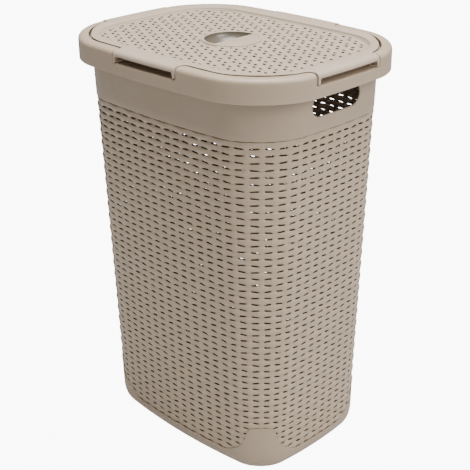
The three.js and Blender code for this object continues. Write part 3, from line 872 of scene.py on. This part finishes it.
def carried_round(section):
    """Points of a section carried round the brim, changing between side middles and corners."""
    columns = []
    for (begin, length), corner, middle in section:
        outline, inset, drop = corner
        there = place(BRIM, outline(inset, HEIGHT - drop))
        if middle is not SAME:
            outline, inset, drop = middle
            here = place(BRIM, outline(inset, HEIGHT - drop))
            share = np.clip((ALONG - begin) / length, 0, 1)[:, None]
            there = here + (there - here) * share
        columns.append(there)
    return np.stack(columns, axis=1)


SHARP_BRIM = 30
SHARP_PARTS = 40


def swept_loop(name, section, proud=0.0):
    """A closed ring with a section, standing proud of the frame's height."""
    points = carried_round(section) + np.array((0.0, 0.0, proud))
    faces = ring_faces(points.shape[0], points.shape[1])
    points = points.reshape(-1, 3)
    return new_object(name, points, facing_out(points, faces).tolist(), sharp=SHARP_BRIM)


def corners_of(prefix):
    """The frame's nodes of one kind, corner by corner."""
    return [f"{prefix}_{corner}" for corner in ("back_right", "back_left", "front_left", "front_right")]


def sides_of(prefix):
    """The frame's nodes of one kind, side by side."""
    return [f"{prefix}_{side}" for side in ("right", "back", "left", "front")]


def rim_collar():
    """The skirted rim, with a sunk notch in the middle of each side and a ledge for the lid."""
    piece = swept_loop("rim_collar", RIM_SECTION)
    finished(piece, "tub", corners_of("rim_corner") + sides_of("rim_notch"), RIM_PLASTIC)


def lid_frame():
    """The lid's flat border, with a wing on each side whose lip and end tabs drop into the notch."""
    piece = swept_loop("lid_frame", LID_SECTION, LID_PROUD)
    finished(piece, "lid", ["lid_border"] + sides_of("lid_wing"), LID_PLASTIC)


rim_collar()
lid_frame()


# ---- upper band with its two hand holes ----
BAND_OUT = 0.3
BAND_IN = -2.7
BAND_ROUND = 1.2
SEAM_GAP = 0.2
BAND_MARKS = [0, 6, 12, 18, 24, 30, 36, 42, 47, 52, 57, 62]
HOLE_HALF_LENGTH = 47.0
HOLE_BOTTOM = 535.0
HOLE_TOP = 565.0
FRAME_HALF_LENGTH = 62.0
FRAME_LEVELS = (526.0, 531.0, 536.0, 541.0, 546.0, 552.0, 558.0, 563.5, 568.4)
BAND_TUCK = 1.0
# The rounded foot of the band: how far each row stands above its end and inside its face.
BAND_FOOT = ((0.0, BAND_ROUND), (0.15, 0.5), (0.5, 0.12), (BAND_ROUND, 0.0))
# The mouth of a hand hole: how far each row stands off the hole, and its depth.
MOUTH_REACH = 2.2
MOUTH_ROWS = (
    (MOUTH_REACH, BAND_OUT),
    (1.0, BAND_OUT - 0.03),
    (0.45, BAND_OUT - 0.25),
    (0.1, BAND_OUT - 0.65),
    (0.0, BAND_OUT - 1.1),
    (0.0, BAND_IN + 0.7),
    (0.3, BAND_IN + 0.15),
    (0.9, BAND_IN),
    (MOUTH_REACH, BAND_IN),
)


def on_wall(station, z, out):
    """Points at stations on the wall, at a level and a depth."""
    return place(station, shell(wall_inset(z), z), out)


def band_rows():
    """The band's section: level and depth, from the foot of the inside round to the top of it."""
    low = WEAVE_TOP + SEAM_GAP
    top = SKIRT_BOTTOM + BAND_TUCK
    foot = [(low, BAND_IN)] + [(low + rise, BAND_OUT - inset) for rise, inset in BAND_FOOT]
    outside = [(z, BAND_OUT) for z in (*FRAME_LEVELS, top)]
    inside = [(z, BAND_IN) for z in (top, *reversed(FRAME_LEVELS))]
    return foot + outside + inside


def stadium(half_length, bottom, top, count):
    """Points (y, z) round a slot with round ends, anticlockwise from the middle of its foot."""
    radius = (top - bottom) / 2
    straight = half_length - radius
    middle = (bottom + top) / 2
    total = 4 * straight + 2 * math.pi * radius
    points = []
    for i in range(count):
        way = total * i / count
        half = way > total / 2
        way = way - total / 2 if half else way
        if way < straight:
            y, z = way, -radius
        elif way < straight + math.pi * radius:
            turn = (way - straight) / radius
            y, z = straight + radius * math.sin(turn), -radius * math.cos(turn)
        else:
            y, z = 2 * straight + math.pi * radius - way, radius
        if half:
            y, z = -y, -z
        points.append((y, z + middle))
    return np.array(points)


def frame_outline():
    """Points (y, z) round the patch of band that holds the hole, from the middle of its foot."""
    marks = [m for m in BAND_MARKS if m <= FRAME_HALF_LENGTH]
    low, high = FRAME_LEVELS[0], FRAME_LEVELS[-1]
    foot = [(m, low) for m in marks]
    side = [(FRAME_HALF_LENGTH, z) for z in FRAME_LEVELS[1:-1]]
    top = [(m, high) for m in reversed(marks)]
    right = foot + side + top
    left = [(-y, z) for y, z in reversed(right[1:-1])]
    return np.array(right + left)


def side_station(y):
    """Stations on the middle stretch of the right side."""
    zero = np.zeros_like(y)
    one = np.ones_like(y)
    return one, zero, one, zero, zero, y, one, one


def hole_patch():
    """The patch of band round the right hand hole: outer face, rounded mouth and inner face."""
    border = frame_outline()

    def ring(reach):
        ends = HOLE_BOTTOM - reach, HOLE_TOP + reach
        return stadium(HOLE_HALF_LENGTH + reach, *ends, len(border))

    halfway = (border + ring(MOUTH_REACH)) / 2
    rows = [(border, BAND_OUT), (halfway, BAND_OUT)]
    rows += [(ring(reach), out) for reach, out in MOUTH_ROWS]
    rows += [(halfway, BAND_IN), (border, BAND_IN)]
    points = [on_wall(side_station(line[:, 0]), line[:, 1], out) for line, out in rows]
    return np.stack(points, axis=1)


def join_meshes(parts):
    """One point list and face list from several (points, faces); meeting points are merged later."""
    points, faces, start = [], [], 0
    for own_points, own_faces in parts:
        points.append(own_points)
        faces.append(own_faces + start)
        start += len(own_points)
    return np.concatenate(points), np.concatenate(faces)


MERGE_BAND = 0.02
MERGE_PAN = 0.005
MERGE_SMALL = 0.001


def merged(piece, distance):
    """Merges meeting points and turns every face outwards."""
    mesh = bmesh.new()
    mesh.from_mesh(piece.data)
    bmesh.ops.remove_doubles(mesh, verts=mesh.verts, dist=distance * MM)
    bmesh.ops.recalc_face_normals(mesh, faces=mesh.faces)
    mesh.to_mesh(piece.data)
    mesh.free()
    piece.data.shade_smooth()
    piece.data.set_sharp_from_angle(angle=math.radians(SHARP_PARTS))


def upper_band():
    """The smooth band, with a patch that holds a hand hole in each short side."""
    station, along = ring_stations(BAND_MARKS)
    rows = band_rows()
    points = np.stack([on_wall(station, np.full_like(along, z), out) for z, out in rows], axis=1)
    around, across = points.shape[:2]
    faces = ring_faces(around, across)
    middle = points.reshape(-1, 3)[faces].mean(axis=1)
    in_frame = (np.abs(middle[:, 1]) < FRAME_HALF_LENGTH) & (np.abs(middle[:, 0]) > PANEL_B)
    in_frame &= (middle[:, 2] > FRAME_LEVELS[0]) & (middle[:, 2] < FRAME_LEVELS[-1])
    patch = hole_patch()
    patch_faces = ring_faces(*patch.shape[:2], closed=False)
    right = patch.reshape(-1, 3)
    left = right * (-1, 1, 1)
    parts = [(points.reshape(-1, 3), faces[~in_frame]), (right, patch_faces), (left, patch_faces)]
    points, faces = join_meshes(parts)
    points, (faces,), _ = compact(points, [faces])
    piece = new_object("upper_band", points, faces.tolist())
    merged(piece, MERGE_BAND)
    nodes = ["upper_band_front", "upper_band_back", "handle_panel_left", "handle_panel_right"]
    finished(piece, "tub", nodes + corners_of("upper_corner"), TUB_PLASTIC)


upper_band()


# ---- base pan with its corner feet ----
PAN_SPRING = 33.7
PAN_DEEP = PAN_SPRING - FLOOR_UNDERSIDE
PAN_ROUND = 21.0
PAN_THICKNESS = 3.0
PAN_OUT = 0.75
PAN_INNER = -1.7
PAN_STEPS = 16
FLOOR_INSET = WALL_INSET_LOW + PAN_ROUND + 2.0
PAD_RADIUS = 4.8
# The middle of a foot pad, mirrored into each quarter of the base.
PAD_PLACE = (137.39, 84.69)
PAD_STEPS = 32
PAN_STATIONS_PER_COLUMN = 8
FOOT_MIDDLE = 45.0
PAN_LIP_HEIGHT = 1.0
THICKENING_TURN = 0.3
# The pan's rounded upper edge, from the inside over to the outside: depth, and drop below the top.
PAN_LIP = (
    (PAN_INNER, 0.3),
    (-0.6, 0.0),
    (PAN_OUT - 0.75, 0.0),
    (PAN_OUT - 0.25, 0.15),
    (PAN_OUT - 0.05, 0.5),
)


def pan_curve(angle):
    """Inset and height of the pan's outside at an angle round its lower edge, negative up the wall."""
    z = PAN_SPRING - PAN_DEEP * np.where(angle > 0, np.sin(angle), angle)
    curved = WALL_INSET_LOW + PAN_ROUND * (1 - np.cos(angle))
    return np.where(angle > 0, curved, wall_inset(z)), z


def pan_angles(edge):
    """Angles round the pan's lower edge, from just below its upper edge to the floor."""
    start = (PAN_SPRING - (edge - PAN_LIP_HEIGHT)) / PAN_DEEP
    first = np.where(start < 0, start, np.arcsin(np.clip(start, 0, 1)))
    return [first + (math.pi / 2 - first) * i / PAN_STEPS for i in range(PAN_STEPS + 1)]


def pan_lip(station, edge):
    """Rows of points over the pan's upper edge."""
    rows = []
    for out, drop in PAN_LIP:
        z = edge - drop
        down = np.clip((PAN_SPRING - z) / PAN_DEEP, 0, 1)
        curved = WALL_INSET_LOW + PAN_ROUND * (1 - np.sqrt(1 - down ** 2))
        rows.append(place(station, shell(np.where(z > PAN_SPRING, wall_inset(z), curved), z), out))
    return rows


def capped_tube(name, points):
    """An object from a grid of points that closes round, with a flat face over each end."""
    around, across = points.shape[:2]
    index = np.arange(around * across).reshape(around, across)
    quads = ring_faces(around, across, closed=False).tolist()
    ends = [index[::-1, 0].tolist(), index[:, -1].tolist()]
    return new_object(name, points.reshape(-1, 3), quads + ends)


def base_pan():
    """The rounded base, whose upper edge rises to a smooth foot at each corner."""
    columns = np.arange(COLUMNS * PAN_STATIONS_PER_COLUMN) / PAN_STATIONS_PER_COLUMN
    station = column_station(columns)
    edge = foot_top(from_corner(columns, np.full_like(columns, FOOT_MIDDLE)))
    outside = []
    inside = []
    for angle in pan_angles(edge):
        inset, z = pan_curve(angle)
        turn = np.clip(angle, 0, None)
        outside.append(place(station, shell(inset, z), PAN_OUT * np.clip(np.cos(angle), 0, 1)))
        thick = -PAN_INNER + (PAN_THICKNESS + PAN_INNER) * np.clip(angle / THICKENING_TURN, 0, 1)
        level = shell(inset + thick * np.cos(turn), z + PAN_THICKNESS * np.sin(turn))
        inside.append(place(station, level))
    flat = np.full_like(columns, FLOOR_UNDERSIDE)
    under = place(station, shell(FLOOR_INSET, flat))
    over = place(station, shell(FLOOR_INSET, flat + PAN_THICKNESS))
    rows = [over] + inside[::-1] + pan_lip(station, edge) + outside + [under]
    piece = capped_tube("base_pan", np.stack(rows, axis=1))
    merged(piece, MERGE_PAN)
    nodes = ["floor_plate"] + sides_of("base_band") + corners_of("base_corner")
    finished(piece, "tub", nodes, TUB_PLASTIC)


def turned(profile, steps, centre=(0.0, 0.0)):
    """A grid of points: a profile (radius, z) carried round an upright axis."""
    turn = np.arange(steps) * 2 * math.pi / steps
    radius, z = np.array(profile, float).T
    x = centre[0] + np.cos(turn)[:, None] * radius
    y = centre[1] + np.sin(turn)[:, None] * radius
    return np.stack([x, y, np.broadcast_to(z, x.shape)], axis=-1)


def lathe(profile, steps, centre=(0.0, 0.0)):
    """Points and faces of a turned profile that starts and ends on the axis."""
    points = turned(profile[1:-1], steps, centre)
    around, across = points.shape[:2]
    index = np.arange(around * across).reshape(around, across)
    following = np.roll(index, -1, axis=0)
    first = around * across
    ends = [(*centre, profile[0][1]), (*centre, profile[-1][1])]
    faces = ring_faces(around, across, closed=False).tolist()
    faces += [[first, b, a] for a, b in zip(index[:, 0].tolist(), following[:, 0].tolist())]
    faces += [[first + 1, a, b] for a, b in zip(index[:, -1].tolist(), following[:, -1].tolist())]
    return np.concatenate([points.reshape(-1, 3), ends]), faces


def foot_pads():
    """Four small discs under the corners of the base, let into its underside."""
    height = FLOOR_UNDERSIDE + 0.8
    profile = [(0, height), (PAD_RADIUS, height), (PAD_RADIUS, 0.6), (PAD_RADIUS - 0.2, 0.2),
               (PAD_RADIUS - 0.6, 0), (0, 0)]
    points = []
    faces = []
    for sign_x, sign_y in ((1, 1), (1, -1), (-1, 1), (-1, -1)):
        own, own_faces = lathe(profile, PAD_STEPS, (sign_x * PAD_PLACE[0], sign_y * PAD_PLACE[1]))
        faces += [[i + len(points) * len(own) for i in face] for face in own_faces]
        points.append(own)
    piece = new_object("foot_pads", np.concatenate(points), faces)
    merged(piece, MERGE_SMALL)
    finished(piece, "tub", [], TUB_PLASTIC)


base_pan()
foot_pads()


# ---- woven field of the lid ----
FIELD_TOP = node_box("lid_woven_field")[1][2]
FIELD_UNDER = 593.9
FLANGE_FOOT = 594.8
FIELD_PITCH_X = 17.8
FIELD_PITCH_Y = 9.4
FIELD_LINES_X = (0.0, 0.09, 0.185, 0.335, 0.485, 0.5, 0.515, 0.665, 0.815, 0.91)
FIELD_LINES_Y = (0.0, 0.165, 0.32, 0.5, 0.68, 0.835)
HOLE_AT_EVEN = FIELD_LINES_X[3]
HOLE_AT_ODD = FIELD_LINES_X[7]
FIELD_HOLE_X = 0.1
FIELD_HOLE_Y = 0.15
FIELD_RELIEF = 0.95
FIELD_FLAT = 0.8
FIELD_EDGE = 17.0
FIELD_HIDDEN = 10.0
PULL_CLEAR = 41.0
PULL_HOLE = 40.0
SMOOTH_BELT = 3.0


def inside_panel(x, y):
    """How far a point lies inside the lid panel's edge."""
    a = PANEL_A + PANEL_BOW * (1 - (y / PANEL_B) ** 2)
    b = PANEL_B + PANEL_BOW * (1 - (x / PANEL_A) ** 2)
    over_x = np.abs(x) - (a - PANEL_RADIUS)
    over_y = np.abs(y) - (b - PANEL_RADIUS)
    corner = np.hypot(np.clip(over_x, 0, None), np.clip(over_y, 0, None))
    return PANEL_RADIUS - corner - np.minimum(np.maximum(over_x, over_y), 0)


def field_lines(half, pitch, lines):
    """Every grid line across the field, as cell numbers and shares of a cell."""
    count = math.ceil(half / pitch) + 1
    cells = np.arange(-count, count)
    return (cells[:, None] + np.array(lines)).ravel()


def cell_middles(values):
    """The middle of each cell of a grid, from its two opposite corners."""
    return (values[1:, 1:] + values[:-1, :-1]) / 2


def field_keep(column, row, reach, from_middle):
    """Which quads of the field are solid: not the holes, and not what lies far under the border."""
    column, row, reach, from_middle = (cell_middles(v) for v in (column, row, reach, from_middle))
    edge = np.rint(row)
    share = column - np.floor(column)
    even = np.mod(np.floor(column) + edge, 2) == 0
    hole_at = np.where(even, HOLE_AT_EVEN, HOLE_AT_ODD)
    hole = (np.abs(share - hole_at) < FIELD_HOLE_X) & (np.abs(row - edge) < FIELD_HOLE_Y)
    hole &= (reach > FIELD_EDGE + SMOOTH_BELT) & (from_middle > PULL_CLEAR + SMOOTH_BELT)
    return ~hole & (reach > FIELD_HIDDEN) & (from_middle > PULL_HOLE)


def lid_weave():
    """The sunken field: strands along X, which pass over and under stakes, and small holes between."""
    column = field_lines(PANEL_A + PANEL_BOW, FIELD_PITCH_X, FIELD_LINES_X)
    row = field_lines(PANEL_B + PANEL_BOW, FIELD_PITCH_Y, FIELD_LINES_Y)[::-1]
    column, row = np.meshgrid(column, row)
    x = column * FIELD_PITCH_X
    y = (row + 0.5) * FIELD_PITCH_Y
    number = np.floor(row + TINY)
    cap = np.clip(1 - (2 * (row - number) - 1) ** 2, 0, None) ** CAP_POWER
    lift = (1 + np.cos(math.pi * (column - number))) * cap
    reach = inside_panel(x, y)
    from_middle = np.hypot(x, y)
    relief = np.minimum(reach - FIELD_EDGE, from_middle - PULL_CLEAR) / SMOOTH_BELT
    relief = np.clip(relief, 0, 1)
    z = FIELD_TOP - 2 * FIELD_RELIEF + FIELD_RELIEF * lift * relief + FIELD_FLAT * (1 - relief)
    top = np.stack([x, y, z], axis=-1).reshape(-1, 3)
    under = top * (1, 1, 0) + (0, 0, FIELD_UNDER)
    points = np.concatenate([top, under])
    faces = thick_sheet(field_keep(column, row, reach, from_middle))
    normals = vertex_normals(points, faces)
    points, (faces,), used = compact(points, [faces])
    piece = new_object("lid_weave", points, faces.tolist(), normals=normals[used])
    finished(piece, "lid", ["lid_woven_field"], LID_WOVEN_PLASTIC)


lid_weave()


# ---- finger pull ----
PULL_OUTER = node_box("finger_pull_dish")[1][0]
PULL_INNER = 38.0
PULL_TOP = node_box("finger_pull_dish")[1][2]
PULL_BOTTOM = node_box("finger_pull_dish")[0][2]
PULL_WALL = 2.2
PULL_STEPS = 96
BOWL_STEPS = 24
GRIP_EDGE = node_box("finger_pull_grip")[0][0]
GRIP_TOP = node_box("finger_pull_grip")[1][2]
GRIP_UNDER = node_box("finger_pull_grip")[0][2]
GRIP_RADIUS = 38.6
GRIP_ARC_POINTS = 61
GRIP_CHORD_POINTS = 26
BOWL_WALL = PULL_INNER + PULL_WALL
BOWL_OPEN_STEPS = 4
RING_FOOT = PULL_TOP - 1.4
RING_PROFILE = (
    (PULL_INNER, PULL_TOP - 0.6),
    (PULL_INNER + 0.25, PULL_TOP - 0.1),
    (PULL_INNER + 0.7, PULL_TOP),
    (PULL_OUTER - 0.9, PULL_TOP),
    (PULL_OUTER - 0.45, PULL_TOP - 0.08),
    (PULL_OUTER - 0.15, PULL_TOP - 0.35),
    (PULL_OUTER, PULL_TOP - 0.8),
    (PULL_OUTER, FLANGE_FOOT),
    (BOWL_WALL, FLANGE_FOOT),
    (BOWL_WALL, RING_FOOT),
)
GRIP_SECTION = (
    (0.5, GRIP_UNDER),
    (0.12, GRIP_UNDER + 0.15),
    (0.0, GRIP_UNDER + 0.5),
    (0.0, GRIP_TOP - 0.8),
    (0.12, GRIP_TOP - 0.35),
    (0.4, GRIP_TOP - 0.08),
    (0.9, GRIP_TOP),
)


def finger_bowl():
    """The round bowl of the pull, hung under its ring."""
    turns = np.linspace(0, math.pi / 2, BOWL_STEPS)
    deep = PULL_TOP - PULL_BOTTOM
    hollow = deep - PULL_WALL
    under_ring = turns[:-BOWL_OPEN_STEPS]
    outside = [(BOWL_WALL * math.sin(t), PULL_TOP - deep * math.cos(t)) for t in under_ring]
    edge = [(BOWL_WALL, RING_FOOT), (PULL_INNER + 0.3, PULL_TOP - 0.6), (PULL_INNER, PULL_TOP - 0.5)]
    inside = [(PULL_INNER * math.sin(t), PULL_TOP - hollow * math.cos(t)) for t in turns[-2::-1]]
    points, faces = lathe(outside + edge + inside, PULL_STEPS)
    piece = new_object("finger_bowl", points, faces)
    merged(piece, MERGE_SMALL)
    # The bowl's finish is the taupe painted dark, as painted shade.
    finished(piece, "lid", ["finger_pull_dish"], PAINTED_SHADE_BOWL_PLASTIC)


def pull_ring():
    """The flanged ring round the bowl, standing proud of the weave."""
    points = turned(RING_PROFILE, PULL_STEPS)
    faces = ring_faces(*points.shape[:2])
    points = points.reshape(-1, 3)
    piece = new_object("pull_ring", points, facing_out(points, faces).tolist(), sharp=SHARP_PARTS)
    finished(piece, "lid", [], GRIP_PLASTIC)


def half_disc(inset, z):
    """Outline of the grip: the part of a disc past a straight edge."""
    radius = GRIP_RADIUS - inset
    reach = math.acos((GRIP_EDGE + inset) / radius)
    turn = np.linspace(-reach, reach, GRIP_ARC_POINTS)
    arc = np.stack([radius * np.cos(turn), radius * np.sin(turn)], axis=-1)
    chord = np.linspace(arc[-1], arc[0], GRIP_CHORD_POINTS)[1:-1]
    outline = np.concatenate([arc, chord])
    return np.column_stack([outline, np.full(len(outline), z)])


def finger_grip():
    """The shelf over half the bowl that the fingers hook under."""
    points = np.stack([half_disc(inset, z) for inset, z in GRIP_SECTION], axis=1)
    piece = capped_tube("finger_grip", points)
    merged(piece, MERGE_SMALL)
    finished(piece, "lid", ["finger_pull_grip"], GRIP_PLASTIC)


finger_bowl()
pull_ring()
finger_grip()


# ---- studio, in metres ----
FLOOR_TONE = 0.70
FLOOR_GLOW = 10.0
FLOOR_HALF_WIDTH = 25.0
SKY_LIGHT = 0.22
LIT_PLACE = (0, 0, 0.35)


def floor_material():
    """A plain pale floor, which looks white as a studio's lit sweep does."""
    material = bpy.data.materials.new("studio_floor")
    material.use_nodes = True
    tree = material.node_tree
    shader = tree.nodes["Principled BSDF"]
    shader.inputs["Base Color"].default_value = (FLOOR_TONE, FLOOR_TONE, FLOOR_TONE, 1)
    shader.inputs["Roughness"].default_value = 0.8
    shader.inputs["Specular IOR Level"].default_value = 0.2
    glow = tree.nodes.new("ShaderNodeEmission")
    glow.inputs["Strength"].default_value = FLOOR_GLOW
    path = tree.nodes.new("ShaderNodeLightPath")
    blend = tree.nodes.new("ShaderNodeMixShader")
    tree.links.new(path.outputs["Is Camera Ray"], blend.inputs[0])
    tree.links.new(shader.outputs[0], blend.inputs[1])
    tree.links.new(glow.outputs[0], blend.inputs[2])
    tree.links.new(blend.outputs[0], tree.nodes["Material Output"].inputs["Surface"])
    return material


def make_floor():
    """The floor, wide enough to fill the view from any side."""
    half = FLOOR_HALF_WIDTH
    corners = [(-half, -half, 0), (half, -half, 0), (half, half, 0), (-half, half, 0)]
    mesh = bpy.data.meshes.new("floor")
    mesh.from_pydata(corners, [], [(0, 1, 2, 3)])
    floor = bpy.data.objects.new("floor", mesh)
    bpy.context.scene.collection.objects.link(floor)
    mesh.materials.append(floor_material())


def make_world():
    """Even white light from all round."""
    world = bpy.data.worlds.new("studio")
    bpy.context.scene.world = world
    world.use_nodes = True
    background = world.node_tree.nodes["Background"]
    background.inputs["Color"].default_value = (1.0, 1.0, 1.0, 1)
    background.inputs["Strength"].default_value = SKY_LIGHT


def soft_box(name, stand, size, watts):
    """A square soft light at a stand's place, turned to the hamper."""
    light = bpy.data.lights.new(name, "AREA")
    light.shape = "SQUARE"
    light.size = size
    light.energy = watts
    lamp = bpy.data.objects.new(name, light)
    lamp.location = stand
    lamp.rotation_euler = (Vector(LIT_PLACE) - Vector(stand)).to_track_quat("-Z", "Y").to_euler()
    bpy.context.scene.collection.objects.link(lamp)


def studio():
    """Floor, sky, a broad light overhead and a key light to the right."""
    make_floor()
    make_world()
    soft_box("overhead", stand=(0.2, -0.05, 2.8), size=1.6, watts=160)
    soft_box("key", stand=(2.1, 0.2, 2.0), size=1.4, watts=58)


studio()
